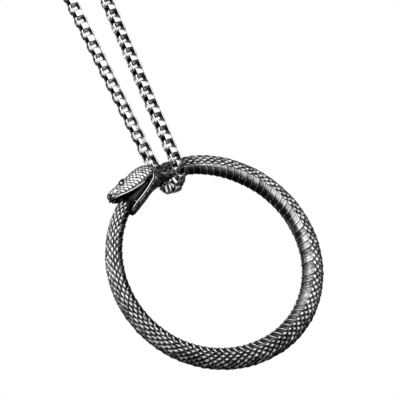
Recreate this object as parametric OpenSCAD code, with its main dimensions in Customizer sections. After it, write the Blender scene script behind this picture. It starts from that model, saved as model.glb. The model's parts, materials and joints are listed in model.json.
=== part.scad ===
// Snake pendant on a box chain: a cast snake curled into a ring, its tail in its open mouth,
// hanging free in the bottom bend of a necklace chain that is closed with a lobster clasp.
// The origin is the inside of the chain's top bend, where the necklace hangs over a peg.
// The ring's face looks along -Y, and +Z is up.

/* [Snake ring] */
// Diameter of the circle that the middle of the body follows
ring_d = 50.4; // [49:0.2:52]
// Thickness of the body at its fattest, between grooves and crests
body_d = 5.4; // [5:0.1:5.5]
// Belly plates from the neck to the mouth
plate_count = 78; // [60:1:84]
// Height of a scale's crest above the grooves round it
scale_rise = 0.26; // [0.1:0.02:0.3]
// Height of a belly plate's free edge above the start of the next plate
plate_rise = 0.22; // [0.1:0.02:0.3]

/* [Head] */
// Relief of the small scales on the head
head_rise = 0.12; // [0.04:0.02:0.16]
// Diameter of each eye
eye_d = 1.4; // [1:0.1:1.6]
// Width across the nostril pits
nostril_d = 0.6; // [0.3:0.1:0.8]
// Length of the small fangs on the lower jaw
fang_l = 0.7; // [0.4:0.1:0.9]

/* [Chain] */
// Width of a link across the chain
link_w = 3; // [2.8:0.05:3]
// Length of a link along the chain
link_l = 2.5; // [2.45:0.01:2.6]
// Thickness of the strip that a link is bent from
strip_t = 0.26; // [0.24:0.01:0.3]
// Width of the strip that a link is bent from
strip_w = 1.7; // [1.5:0.05:1.75]
// Radius of a link's outer corners
link_corner_r = 0.55; // [0.3:0.05:0.6]
// Free play between two links that hang in each other
link_gap = 0.11; // [0.1:0.01:0.14]

/* [Clasp] */
// Wire of the two end rings
ring_wire_d = 0.7; // [0.6:0.05:0.8]
// Thickness of the clasp's body
clasp_t = 1.8; // [1.4:0.1:1.8]

/* [Hidden] */

// Link counts: bend under the neck, bend over the peg, and the two straight strands
neck_links = 9;
peg_links = 17;
back_links = 112;
front_links = 103;
// The neck bend is turned about the vertical, so the front strand rises to the right
neck_turn = 14;
// Turn that a link may have against the next one about the chain's own line
link_turn = 3.5;
// Turn that the front strand keeps above the bend, and how many of its links keep it
front_turn = 7;
turned_links = 24;

// From a link's middle to the middle of the strip at its end
hook = (link_l - strip_t) / 2;
link_pitch = 2 * hook - strip_t - link_gap;
// Two links that meet at an angle: how far the strips lie apart, and the links' middles
function strip_drop(bend) = strip_t / 2 * (1 + cos(bend)) + strip_w / 2 * sin(bend) + link_gap;
function bend_pitch(bend) = let (u = hook - strip_drop(bend))
    sqrt(u * u + hook * hook + 2 * u * hook * cos(bend));
// Angle between the line that joins the middles and the link that lies in the bend's plane
function lie(bend) = atan2(hook * sin(bend), hook - strip_drop(bend) + hook * cos(bend));
// Links in the bend's plane sit a little further out than the crossed ones, by this much each
function bend_shift(bend) = bend_pitch(bend) * sin(lie(bend) - bend / 2) / 2;
function bend_r(count) = bend_pitch(180 / count) / (2 * sin(90 / count));
// Where a strand leaves a bend of count links: how far out it stands, and how far along its
// first link is. side is 1 where the bend's last link lies in its plane and -1 where it crosses
function foot(count, side) =
    let (half = 90 / count,
         r = bend_r(count) + side * bend_shift(180 / count),
         a = side > 0 ? half - lie(half) : lie(half),
         step = bend_pitch(half + strand_lean))
    [r * cos(half) + step * sin(a), step * cos(a) - r * sin(half)];
// Room for the small lean of the strands where a bend ends
strand_lean = 3;
// Turn of a strand's link number k about the strand's own line
function back_turn(k) = max(0, neck_turn - max(0, k - 1) * link_turn);
function front_turn_at(k) =
    max(0, neck_turn - (k + 1) * link_turn, front_turn - max(0, k + 1 - turned_links) * link_turn);

neck_bend_r = bend_r(neck_links);
neck_shift = bend_shift(180 / neck_links);
peg_bend_r = bend_r(peg_links);
peg_shift = bend_shift(180 / peg_links);
front_foot = foot(neck_links, 1);
back_foot = foot(neck_links, 1);
peg_foot = foot(peg_links, 1);
strand_l = back_foot[1] + link_pitch * (back_links - 1) + peg_foot[1];

// Where the bends end and the strands begin
neck_bend_x = -1.15;
peg_z = -(peg_bend_r + peg_shift - link_w / 2);
peg_end_front = [peg_foot[0], 0, peg_z];
peg_end_back = [-peg_foot[0], 0, peg_z];
strand_dx = peg_foot[0] + neck_bend_x - back_foot[0] * sin(neck_turn);
strand_dy = back_foot[0] * cos(neck_turn);
neck_z = peg_z - sqrt(pow(strand_l, 2) - pow(strand_dx, 2) - pow(strand_dy, 2));
neck_end_front = [neck_bend_x + front_foot[0] * sin(neck_turn), -front_foot[0] * cos(neck_turn), neck_z];
neck_end_back = [neck_bend_x - back_foot[0] * sin(neck_turn), back_foot[0] * cos(neck_turn), neck_z];

// The ring hangs in the neck bend with a little play under the neck
ring_r = ring_d / 2;
neck_play = 0.3;
swing_z = neck_z - neck_play;
ring_z = swing_z - ring_r;

// Angles round the ring run from +X towards +Z; the body runs the other way from the neck
neck_angle = 99.7;
mouth_angle = 128.7 - 360;
plate_step = (neck_angle - mouth_angle) / plate_count;

// Body thickness: share of the way from the neck to the mouth, share of body_d
body_table = [
    [0, 0.845], [0.08, 0.87], [0.15, 0.94], [0.3, 0.965], [0.45, 0.99], [0.51, 1.01],
    [0.63, 0.965], [0.78, 0.87], [0.86, 0.83], [0.93, 0.75], [1, 0.69]
];
// How far the middle of the body lies outside a true circle: plates past the neck, offset
oval_table = [
    [0, 0], [5, 0], [8, -0.16], [12, -0.37], [15, -0.38], [20, -0.27], [24, -0.14], [28, 0.02], [36, 0.04],
    [40, -0.1], [45, -0.3], [49, -0.3], [54, -0.14], [60, 0], [66, 0.02], [72, 0], [78, 0.18], [82, 0.2]
];
// Tail inside the mouth: degrees past the last plate, share of body_d
tail_table = [[0.5, 0.57], [1.3, 0.7], [2.4, 0.6], [7, 0.52], [12, 0.36], [15, 0.1]];

// Tube angles run from the ring's inside over its front face (-Y) to its outside
belly_half = 82;
dorsal_parts = 12;
belly_parts = 8;
body_sides = dorsal_parts + belly_parts;
crest_lean = 0.12;
plate_reach = 0.38;

function on_ring(angle, out, side) =
    [(ring_r + out) * cos(angle), side, ring_z + (ring_r + out) * sin(angle)];
function tube_angle(k) = k <= dorsal_parts
    ? belly_half + k * (360 - 2 * belly_half) / dorsal_parts
    : 360 - belly_half + (k - dorsal_parts) * 2 * belly_half / belly_parts;
function is_belly(k) = k > dorsal_parts;
function is_edge(k) = k == 0 || k == dorsal_parts;
function body_rise(i, k) = is_belly(k) ? (i % 2 == 1 ? 0.5 : -0.5) * plate_rise
    : is_edge(k) ? -0.2 * scale_rise
    : ((i + k) % 2 == 0 ? 0.5 : -0.5) * scale_rise;
function body_lean(i, k) = is_belly(k) ? (i % 2 == 1 ? plate_reach : 0)
    : !is_edge(k) && (i + k) % 2 == 0 ? crest_lean : 0;

function body_point(i, k) =
    let (way = i / (2 * plate_count),
         r = lookup(way, body_table) * body_d / 2 + body_rise(i, k),
         angle = neck_angle - plate_step * (i / 2 + body_lean(i, k)),
         turn = tube_angle(k))
    on_ring(angle, lookup(i / 2, oval_table) - r * cos(turn), -r * sin(turn));
function tail_point(row, k) =
    let (r = row[1] * body_d / 2, turn = tube_angle(k))
    on_ring(mouth_angle - row[0], lookup(plate_count + row[0] / plate_step, oval_table) - r * cos(turn),
            -r * sin(turn));

// Faces of a tube of rings; a quad's diagonal joins the two corners that lie lower
function tube_faces(rings, sides) = [
    for (i = [0 : rings - 2], k = [0 : sides - 1])
        let (a = i * sides + k, b = i * sides + (k + 1) % sides, c = a + sides, d = b + sides)
        each (i + k) % 2 == 0 ? [[a, b, c], [b, d, c]] : [[a, b, d], [a, d, c]]
];
function end_faces(rings, sides) = [
    [for (k = [sides - 1 : -1 : 0]) k],
    [for (k = [0 : sides - 1]) (rings - 1) * sides + k]
];
function tube_all_faces(rings, sides) = concat(tube_faces(rings, sides), end_faces(rings, sides));

// Head from the neck to the snout. Columns: degrees past the neck, then offsets from the
// body's circle of the lip line, the crown and the palate (or throat), and half the width
head_table = [
    [0, -0.2, 2.5, -2.1, 2.4], [2.2, 0.3, 3.15, -2.1, 2.65],
    [3.2, 0.8, 3.6, 1.5, 2.8], [5, 0.5, 4.1, 1.6, 2.95], [8, 0.33, 4.4, 1.7, 3.05],
    [11, 0.3, 4.45, 1.7, 3.1], [14, 0.35, 4.4, 1.7, 3.05], [17, 0.6, 4.45, 1.8, 3.0],
    [19, 0.85, 4.55, 1.9, 2.98], [21.5, 1.3, 4.75, 2.1, 2.95], [23.5, 1.75, 5.0, 2.3, 2.92],
    [25.3, 2.3, 5.25, 2.6, 2.75], [27, 2.95, 5.3, 3.0, 2.25], [28.1, 3.3, 5.1, 3.15, 1.6],
    [28.7, 3.6, 4.7, 3.4, 0.9]
];
// Lower jaw: degrees past the neck, then offsets of the lip line, the mouth's floor and the
// chin's underside, and half the width
jaw_table = [
    [-2, -0.8, -1.4, -1.9, 1.85], [1.2, -0.1, -1.3, -2.3, 2.5], [2.9, 0.9, -1.4, -2.35, 2.68],
    [5.8, -0.3, -1.8, -2.4, 2.76], [9, -0.9, -2.05, -2.5, 2.78], [12.5, -1.35, -2.4, -2.75, 2.7],
    [16.4, -1.6, -2.6, -3.0, 2.6], [20.7, -1.65, -2.7, -3.05, 2.4], [24.9, -1.6, -2.65, -3.0, 2.1],
    [27.5, -1.6, -2.5, -2.85, 1.7], [29.2, -1.7, -2.35, -2.7, 1.15], [30, -2.0, -2.3, -2.5, 0.5]
];
// Wall that closes the mouth behind the lips: degrees past the neck, offset of its upper side.
// Its lower side lies inside the lower jaw
wall_table = [[1.5, 1.9], [3, 1.95], [9, 2.2], [16, 2.5], [22, 2.75], [26.3, 3.2], [28.6, 0.2]];
wall_half = 1.2;
// Degrees past the neck at which the head's sections stand
head_stations = [1.1, 2.2, each [3.2 : 1.15 : 27.4], 28.1, 28.45, 28.7];
square_power = 0.75;
// Width of the palate and of the mouth's floor, as shares of the head's and the jaw's
palate_width = 0.88;
floor_width = 0.84;

function column(table, c, x) = lookup(x, [for (row = table) [row[0], row[c]]]);
function bulge(turn) = pow(abs(sin(turn)), square_power);
function reach(turn) = sign(cos(turn)) * pow(abs(cos(turn)), square_power);

function head_rise_at(i, k, x) = k < 2 || k > dorsal_parts - 2 || x > 26 ? 0
    : ((i + k) % 2 == 1 ? 0.5 : -0.5) * head_rise;
function head_point(i, k) =
    let (x = head_stations[i],
         lip = column(head_table, 1, x),
         crown = column(head_table, 2, x),
         palate = column(head_table, 3, x),
         half = column(head_table, 4, x),
         top = 180 * k / dorsal_parts,
         under = 180 * (k - dorsal_parts) / belly_parts,
         rise = head_rise_at(i, k, x))
    k <= dorsal_parts
        ? on_ring(neck_angle + x, lip + (crown + rise - lip) * bulge(top), -(half + rise) * reach(top))
        : on_ring(neck_angle + x, lip + (palate - lip) * bulge(under), palate_width * half * reach(under));

function jaw_point(row, k, outer, inner) =
    let (x = row[0],
         under = 180 * k / outer,
         over = 180 * (k - outer) / inner)
    k <= outer
        ? on_ring(neck_angle + x, row[1] + (row[3] - row[1]) * bulge(under), row[4] * reach(under))
        : on_ring(neck_angle + x, row[1] + (row[2] - row[1]) * bulge(over), -floor_width * row[4] * reach(over));

// One tube from the snout to the tail's tip
module body_casting() {
    neck = len(head_stations);
    rings = neck + 2 * plate_count + len(tail_table);
    points = [
        for (i = [neck - 1 : -1 : 0], k = [0 : body_sides - 1]) head_point(i, k),
        for (i = [0 : 2 * plate_count - 1], k = [0 : body_sides - 1]) body_point(i, k),
        for (row = tail_table, k = [0 : body_sides - 1]) tail_point(row, k)
    ];
    polyhedron(points, tube_all_faces(rings, body_sides), convexity = 8);
}

module jaw_casting() {
    outer = 8;
    inner = 6;
    last = len(jaw_table) - 1;
    points = [for (i = [last : -1 : 0], k = [0 : outer + inner - 1]) jaw_point(jaw_table[i], k, outer, inner)];
    polyhedron(points, tube_all_faces(last + 1, outer + inner), convexity = 8);
}

module mouth_wall() {
    rows = len(wall_table);
    points = [
        for (i = [rows - 1 : -1 : 0])
            let (x = wall_table[i][0],
                 high = wall_table[i][1],
                 low = (column(jaw_table, 2, x) + column(jaw_table, 3, x)) / 2)
            for (p = [[low, 1], [low, -1], [high, -1], [high, 1]])
                on_ring(neck_angle + x, p[0], p[1] * wall_half)
    ];
    polyhedron(points, tube_all_faces(rows, 4), convexity = 4);
}

// Places a child at a spot on the head: degrees past the neck, offset and side
module on_head(x, out, side) {
    translate(on_ring(neck_angle + x, out, side)) rotate([0, -(neck_angle + x), 0]) children();
}

// Spots on the head, mirrored to both sides: degrees past the neck, offset, side
eye_spot = [20.3, 3.98, 2.02];
brow_spot = [18.9, 4.5, 1.35];
nostril_spot = [25.5, 3.68, 2.58];
fang_spot = [23.5, -1.75, 2.08];
// Length of the bump over each eye: outwards, across and along the head
brow_size = [0.9, 1.5, 1.9];
nostril_depth = 0.7;

module snake_ring() {
    color("dimgray") difference() {
        union() {
            body_casting();
            jaw_casting();
            mouth_wall();
            for (s = [-1, 1]) {
                on_head(eye_spot[0], eye_spot[1], s * eye_spot[2]) sphere(d = eye_d, $fn = 12);
                on_head(brow_spot[0], brow_spot[1], s * brow_spot[2]) scale(brow_size) sphere(d = 1, $fn = 12);
                on_head(fang_spot[0], fang_spot[1], s * fang_spot[2])
                    rotate([0, 90, 0]) cylinder(h = fang_l, r1 = 0.2, r2 = 0.06, $fn = 5);
            }
        }
        for (s = [-1, 1]) on_head(nostril_spot[0], nostril_spot[1], s * nostril_spot[2])
            rotate([90, 0, 0]) cylinder(h = nostril_depth, d = nostril_d, center = true, $fn = 6);
    }
}

// One link: a strip bent to a rounded square ring, seen along Y, with its length along Z
module link() {
    a = link_w / 2;
    b = link_l / 2;
    c = link_corner_r;
    d = c * (1 - sqrt(0.5));
    corner = [[a, b - c], [a - d, b - d], [a - c, b]];
    outline = concat(
        corner,
        [for (k = [2 : -1 : 0]) [-corner[k][0], corner[k][1]]],
        [for (p = corner) -p],
        [for (k = [2 : -1 : 0]) [corner[k][0], -corner[k][1]]]
    );
    rotate([90, 0, 0]) linear_extrude(strip_w, center = true) difference() {
        polygon(outline);
        square([link_w - 2 * strip_t, link_l - 2 * strip_t], center = true);
    }
}

// Link number n of the chain, counted down the front strand and round; every other one is crossed
module chain_link(n) {
    rotate([0, 0, n % 2 * 90]) link();
}

// Puts children on the straight line from one point up to another, at a distance from its foot
module on_line(foot, top, along, turn = 0) {
    d = (top - foot) / norm(top - foot);
    translate(foot + d * along) rotate([asin(-d[1]), atan2(d[0], d[2]), 0]) rotate([0, 0, turn]) children();
}

front_l = norm(peg_end_front - neck_end_front);

module box_chain() {
    color("silver") {
        for (k = [0 : front_links - 1])
            on_line(neck_end_front, peg_end_front, front_foot[1] + k * link_pitch, front_turn_at(k))
                chain_link(front_links - 1 - k);
        for (k = [0 : neck_links - 1])
            translate([neck_bend_x, 0, neck_z]) rotate([0, 0, neck_turn])
                rotate([(k + 0.5) * 180 / neck_links, 0, 0])
                    translate([0, -neck_bend_r - (k % 2 == 0 ? 1 : -1) * neck_shift, 0])
                        chain_link(front_links + k);
        for (k = [0 : back_links - 1])
            on_line(neck_end_back, peg_end_back, back_foot[1] + k * link_pitch, back_turn(k))
                chain_link(front_links + neck_links + k);
        for (k = [0 : peg_links - 1])
            translate([0, 0, peg_z]) rotate([0, (k + 0.5) * 180 / peg_links, 0])
                translate([-peg_bend_r - (k % 2 == 0 ? 1 : -1) * peg_shift, 0, 0])
                    chain_link(front_links + neck_links + back_links + k);
    }
}

// Distances down the front line from the end of the peg bend
strip_in = link_l / 2 - strip_t;
ring_room = 0.45;
clasp_ring_r = 1.9;
end_ring_r = 2.1;
end_ring_wire_d = ring_wire_d + 0.1;
last_link = -(peg_bend_r + peg_shift) * sin(90 / peg_links);
first_link = front_l - front_foot[1] - (front_links - 1) * link_pitch;
clasp_ring_at = last_link + strip_in - ring_room - ring_wire_d / 2 + clasp_ring_r;
end_ring_at = first_link - strip_in + ring_room + end_ring_wire_d / 2 - end_ring_r;
eye_hole_r = 0.75;
eye_at = clasp_ring_at + clasp_ring_r + 0.15;
clasp_half_w = 2.6;
clasp_rim = 1.1;
lever_r = 0.8;
lever_drop = 3.4;
clasp_end = end_ring_at - end_ring_r + end_ring_wire_d / 2 + 0.4 + clasp_rim;

module on_front_line(down) {
    on_line(neck_end_front, peg_end_front, front_l - down) children();
}

module wire_ring(r, wire_d) {
    rotate([0, 90, 0]) rotate_extrude($fn = 64) translate([r, 0]) circle(d = wire_d, $fn = 24);
}

module clasp_ring() {
    color("silver") on_front_line(clasp_ring_at) wire_ring(clasp_ring_r, ring_wire_d);
}

module end_ring() {
    color("silver") on_front_line(end_ring_at) wire_ring(end_ring_r, end_ring_wire_d);
}

// An oval of given half width between two heights, in the clasp's flat plane
module oval(half, low, high) {
    translate([0, high - half]) circle(half, $fn = 48);
    translate([0, low + half]) circle(half, $fn = 48);
    translate([-half, low + half]) square([2 * half, high - low - 2 * half]);
}

// Heights in the clasp's own plane are measured up from its lower end
module lobster_clasp() {
    eye_up = clasp_end - eye_at;
    body_top = eye_up - 0.3;
    lever_up = body_top - lever_drop;
    color("silver") on_front_line(clasp_end) rotate([90, 0, 0]) {
        linear_extrude(clasp_t, center = true) difference() {
            union() {
                oval(clasp_half_w, 0, body_top);
                translate([clasp_half_w, lever_up]) circle(lever_r, $fn = 32);
            }
            oval(clasp_half_w - clasp_rim, clasp_rim, body_top - clasp_rim);
            translate([0, eye_up]) circle(eye_hole_r, $fn = 32);
        }
        linear_extrude(clasp_t * 2 / 3, center = true) difference() {
            translate([0, eye_up]) circle(2 * eye_hole_r, $fn = 48);
            translate([0, eye_up]) circle(eye_hole_r, $fn = 32);
            oval(clasp_half_w - clasp_rim, clasp_rim, body_top - clasp_rim);
        }
    }
}

snake_ring();
box_chain();
lobster_clasp();
clasp_ring();
end_ring();
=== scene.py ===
# Snake pendant on a box chain: a cast, blackened steel snake biting its tail, on a polished steel chain
import json
import math

import bmesh
import bpy
import numpy as np
from mathutils import Matrix, Vector


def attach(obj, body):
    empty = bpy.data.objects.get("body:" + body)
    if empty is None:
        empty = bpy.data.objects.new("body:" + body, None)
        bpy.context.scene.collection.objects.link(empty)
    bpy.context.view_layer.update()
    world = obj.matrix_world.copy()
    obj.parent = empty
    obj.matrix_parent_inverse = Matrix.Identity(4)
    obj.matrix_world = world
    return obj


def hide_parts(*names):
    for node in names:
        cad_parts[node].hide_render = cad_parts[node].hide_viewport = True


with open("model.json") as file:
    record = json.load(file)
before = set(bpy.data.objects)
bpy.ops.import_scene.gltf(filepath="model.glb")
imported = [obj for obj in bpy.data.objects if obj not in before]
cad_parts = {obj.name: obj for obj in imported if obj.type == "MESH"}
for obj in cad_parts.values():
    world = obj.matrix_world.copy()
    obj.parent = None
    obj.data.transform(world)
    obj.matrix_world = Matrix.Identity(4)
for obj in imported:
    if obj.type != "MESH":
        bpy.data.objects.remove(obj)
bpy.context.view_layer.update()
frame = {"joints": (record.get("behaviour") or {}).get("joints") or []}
mm = 0.001
print("frame loaded")

# The photograph's frame, in pixels, and where the middle of the snake's ring lies in it
photo = {"width": 400, "ringX": 214.7, "ringY": 260.1}

# Camera: seen from the front right and a little below, rolled so that the chain leans to the left
view = {
    "toCamera": (-0.3974, -0.887, -0.234),  # from the ring's middle
    "right": (0.8656, -0.278, -0.4157),  # the image's right-hand side
    "distance": 400,
    "pixelsPerMm": 4.104,  # at the ring's middle
    "sensor": 36,
    "clip": (0.01, 20),  # in metres
}

studio = {
    "floorDrop": 360,  # below the peg, in mm
    "floorRadius": 1600,
    "backdrop": "#ffffff",
    "floor": "#e9e9e7",
    # Lamps: direction from the ring, degrees from its middle to full strength and to its end, strength
    "lamps": [
        ((-0.24, -0.89, 0.37), 35, 55, 1.35),  # the big soft lamp in front
        ((0.47, -0.86, 0.18), 14, 28, 1.1),  # a narrow one to its right
        ((-0.46, -0.25, 0.85), 25, 42, 1.2),  # overhead
        ((-0.66, 0.71, 0.23), 9, 14, 1.0),  # behind and to the left
        ((-0.66, -0.44, -0.6), 10, 24, 0.6),  # low on the left
        ((0.4, 0.89, 0.23), 15, 28, 0.8),  # straight behind
    ],
    "roomLight": 0.04,  # of the dark room round the lamps
    "floorRoughness": 0.9,
}

# The cast snake: sizes in mm, angles in degrees round the ring from +X towards +Z
snake = {
    "ringRadius": 25.2,
    "bodyWidth": 5.4,
    "neckAngle": 99.7,
    "mouthAngle": 128.7 - 360,
    "plates": 78,
    "bellyHalf": 75,  # half of the belly's share of the tube
    "firstRow": 81,  # where the first row of scales has its middle
    "scaleRows": 12,
    "grooveDepth": 0.32,
}
snake["ringZ"] = frame["joints"][0]["pos_m"][2] / mm - snake["ringRadius"]
plateStep = (snake["neckAngle"] - snake["mouthAngle"]) / snake["plates"]
rowStep = (360 - 2 * snake["firstRow"]) / (snake["scaleRows"] - 1)

# Thickness of the body: plates past the neck, share of bodyWidth
bodyTable = [
    (-3, 0.82), (0, 0.82), (3.5, 0.825), (6.2, 0.87), (11.7, 0.94), (23.4, 0.965), (35, 0.99), (40, 1.01),
    (49, 0.965), (61, 0.87), (67, 0.83), (72.5, 0.75), (77.7, 0.69), (79, 0.65), (79.2, 0.56),
    (79.8, 0.52), (80.83, 0.36), (81.4, 0.18), (81.53, 0.02),
]

# Unevenness of the casting: plates past the neck, how far the plates are shifted along the body (in
# plates), and how far the pattern is turned round it (in degrees)
unevenTable = [
    (0, 0.25, 0), (6, 0.15, 2), (10, 0.08, 8), (15, 0, 8), (20, -0.08, 9), (24, -0.03, 8), (28, -0.08, 6),
    (30, -0.1, 7), (33, -0.25, 5), (37, -0.4, -1), (41, -0.52, 0), (46, -0.55, -1), (50, -0.58, -4),
    (54, -0.59, -7), (57, -0.6, -6), (65, -0.5, -1), (72, -0.4, -1), (78, -0.35, 4),
]
# How far the middle of the body lies outside a true circle: plates past the neck, offset
ovalTable = [
    (0, 0), (5, 0), (8, -0.16), (12, -0.37), (15, -0.38), (20, -0.27), (24, -0.14), (28, 0.02), (36, 0.04),
    (40, -0.1), (45, -0.3), (49, -0.3), (54, -0.14), (60, 0), (66, 0.02), (72, 0), (78, 0.18), (82, 0.2),
]

# Head: degrees past the neck, then offsets from the ring's circle of the lip line, the crown and
# the palate, and half the width
headTable = [
    (-3, -0.3, 2.0, -2.0, 2.0), (0, -0.2, 2.45, -2.15, 2.3), (2.2, 0.3, 3.15, -2.1, 2.6),
    (3.2, 0.8, 3.6, 1.5, 2.75), (5, 0.5, 4.1, 1.6, 2.95), (8, 0.33, 4.4, 1.7, 3.05),
    (11, 0.3, 4.45, 1.7, 3.1), (14, 0.35, 4.4, 1.7, 3.05), (17, 0.6, 4.45, 1.8, 3.0),
    (19, 0.85, 4.55, 1.9, 2.98), (21.5, 1.3, 4.75, 2.1, 2.95), (23.5, 1.75, 5.0, 2.3, 2.92),
    (25.3, 2.3, 5.25, 2.6, 2.75), (27, 2.95, 5.3, 3.0, 2.25), (28.1, 3.3, 5.1, 3.15, 1.6),
    (28.7, 3.6, 4.7, 3.4, 0.9),
]
# Lower jaw: degrees past the neck, then offsets of the lip line, the mouth's floor and the chin's
# underside, and half the width
jawTable = [
    (-2, -0.8, -1.4, -1.9, 1.85), (1.2, -0.1, -1.3, -2.3, 2.5), (2.9, 0.9, -1.4, -2.35, 2.68),
    (5.8, -0.3, -1.8, -2.4, 2.76), (9, -0.9, -2.05, -2.5, 2.78), (12.5, -1.35, -2.4, -2.75, 2.7),
    (16.4, -1.6, -2.6, -3.0, 2.6), (20.7, -1.65, -2.7, -3.05, 2.4), (24.9, -1.6, -2.65, -3.0, 2.1),
    (27.5, -1.6, -2.5, -2.85, 1.7), (29.2, -1.7, -2.35, -2.7, 1.15), (30, -2.0, -2.3, -2.5, 0.5),
]
# Wall that closes the mouth behind the lips: degrees past the neck, offset of its upper side
wallTable = [(1.5, 1.9), (3, 1.95), (9, 2.2), (16, 2.5), (22, 2.75), (26.3, 3.2), (28.6, 0.2)]
wallHalf = 1.2
sectionPower = 0.75  # how full the head's and the jaw's sections are
palateWidth = 0.88  # as a share of the head's width
floorWidth = 0.84  # as a share of the jaw's


def linear(hexColour):
    parts = [int(hexColour[i:i + 2], 16) / 255 for i in (1, 3, 5)]
    return [c / 12.92 if c <= 0.04045 else ((c + 0.055) / 1.055) ** 2.4 for c in parts] + [1.0]


def addNode(tree, kind, links=None, **settings):
    node = tree.nodes.new(kind)
    for name, value in settings.items():
        setattr(node, name, value)
    for socket, source in (links or {}).items():
        if isinstance(source, bpy.types.NodeSocket):
            tree.links.new(source, node.inputs[socket])
        else:
            node.inputs[socket].default_value = source
    return node


def addMath(tree, operation, *values):
    return addNode(tree, "ShaderNodeMath", dict(enumerate(values)), operation=operation).outputs[0]


def addVectorMath(tree, operation, *values):
    return addNode(tree, "ShaderNodeVectorMath", dict(enumerate(values)), operation=operation).outputs[0]


def addMix(tree, factor, low, high):
    return addNode(tree, "ShaderNodeMix", {0: factor, 6: low, 7: high}, data_type="RGBA").outputs[2]


def addRange(tree, value, **limits):
    # limits are the node's own inputs, such as FromMin and ToMax
    sockets = {name[:-3] + " " + name[-3:]: limit for name, limit in limits.items()}
    return addNode(tree, "ShaderNodeMapRange", {"Value": value, **sockets}).outputs[0]


def addNoise(tree, place, scale, detail, roughness):
    return addNode(tree, "ShaderNodeTexNoise", {"Vector": place, "Scale": scale, "Detail": detail,
                                                "Roughness": roughness}).outputs["Fac"]


def addRandom(tree, low, seed):
    return addNode(tree, "FunctionNodeRandomValue", {2: low, 3: 1.0, "Seed": seed},
                   data_type="FLOAT").outputs[1]


def addNamed(tree, name, kind):
    return addNode(tree, "GeometryNodeInputNamedAttribute", {"Name": name}, data_type=kind).outputs[0]


def addStored(tree, geometry, name, value):
    return addNode(tree, "GeometryNodeStoreNamedAttribute",
                   {"Geometry": geometry, "Name": name, "Value": value},
                   data_type="FLOAT", domain="POINT").outputs[0]


def newTree(name, inputs):
    # An empty tree with named inputs: each one's name and kind
    tree = bpy.data.node_groups.new(name, "GeometryNodeTree")
    for socket, kind in inputs.items():
        tree.interface.new_socket(socket, in_out="INPUT", socket_type="NodeSocket" + kind)
    tree.interface.new_socket("Geometry", in_out="OUTPUT", socket_type="NodeSocketGeometry")
    return tree, addNode(tree, "NodeGroupInput").outputs


def finishTree(tree, geometry, material):
    smooth = addNode(tree, "GeometryNodeSetShadeSmooth", {"Geometry": geometry}).outputs[0]
    coated = addNode(tree, "GeometryNodeSetMaterial", {"Geometry": smooth, "Material": material}).outputs[0]
    addNode(tree, "NodeGroupOutput", {"Geometry": coated})
    return tree


def newMaterial(name):
    material = bpy.data.materials.new(name)
    material.use_nodes = True
    material.node_tree.nodes.clear()
    return material, material.node_tree


def removeHelper(thing):
    mesh = thing.data
    bpy.data.objects.remove(thing)
    bpy.data.meshes.remove(mesh)


def addObject(name, mesh):
    thing = bpy.data.objects.new(name, mesh)
    bpy.context.scene.collection.objects.link(thing)
    return thing


def addMesh(name, points, faces, **attributes):
    mesh = bpy.data.meshes.new(name)
    mesh.from_pydata(np.asarray(points, float).tolist(), [], faces)
    for key, values in attributes.items():
        layer = mesh.attributes.new(key, "FLOAT", "POINT")
        layer.data.foreach_set("value", np.asarray(values, np.float32))
    mesh.shade_smooth()
    return addObject(name, mesh)


def wearAll(mesh):
    layer = mesh.attributes.new("wear", "FLOAT", "POINT")
    layer.data.foreach_set("value", [1.0] * len(mesh.vertices))


def smoothThrough(table, column, at):
    # A smooth curve through one column of a table, without overshoot
    x = np.array([row[0] for row in table], float)
    y = np.array([row[column] for row in table], float)
    slope = np.diff(y) / np.diff(x)
    tangent = np.concatenate([[slope[0]], (slope[:-1] + slope[1:]) / 2, [slope[-1]]])
    flat = np.concatenate([[False], slope[:-1] * slope[1:] <= 0, [False]])
    tangent[flat] = 0
    i = np.clip(np.searchsorted(x, at, side="right") - 1, 0, len(x) - 2)
    width = x[i + 1] - x[i]
    t = (np.clip(at, x[0], x[-1]) - x[i]) / width
    return ((2 * t**3 - 3 * t**2 + 1) * y[i] + (t**3 - 2 * t**2 + t) * width * tangent[i]
            + (3 * t**2 - 2 * t**3) * y[i + 1] + (t**3 - t**2) * width * tangent[i + 1])


def onRing(angle, out, side):
    turn = np.radians(angle)
    reach = snake["ringRadius"] + out
    return np.stack(np.broadcast_arrays(
        reach * np.cos(turn), side, snake["ringZ"] + reach * np.sin(turn)), -1) * mm


def bodyPoint(plates, turn, rise):
    # plates past the neck, degrees round the tube from the ring's inside over its front face
    radius = np.interp(plates, *zip(*bodyTable)) * snake["bodyWidth"] / 2 + rise
    out = smoothThrough(ovalTable, 1, plates)
    at, shift, twist = zip(*unevenTable)
    angle = snake["neckAngle"] - plateStep * (plates + np.interp(plates, at, shift))
    turn = np.radians(turn + np.interp(plates, at, twist))
    return onRing(angle, out - radius * np.cos(turn), -radius * np.sin(turn))


def bulge(turn):
    return np.abs(np.sin(np.radians(turn))) ** sectionPower


def reachAcross(turn):
    c = np.cos(np.radians(turn))
    return np.sign(c) * np.abs(c) ** sectionPower


def headPoint(past, turn, rise=0.0):
    # turn runs over the crown from 0 at the near lip to 180, and back along the palate to 360
    lip, crown, palate, half = (smoothThrough(headTable, c, past) for c in (1, 2, 3, 4))
    top = turn <= 180
    height = np.where(top, crown, palate) - lip
    width = np.where(top, half, palateWidth * half)
    out = lip + (height + np.where(top, rise, 0)) * bulge(turn)
    side = -(width + np.where(top, rise, 0)) * reachAcross(turn)
    return onRing(snake["neckAngle"] + past, out, side)


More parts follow.
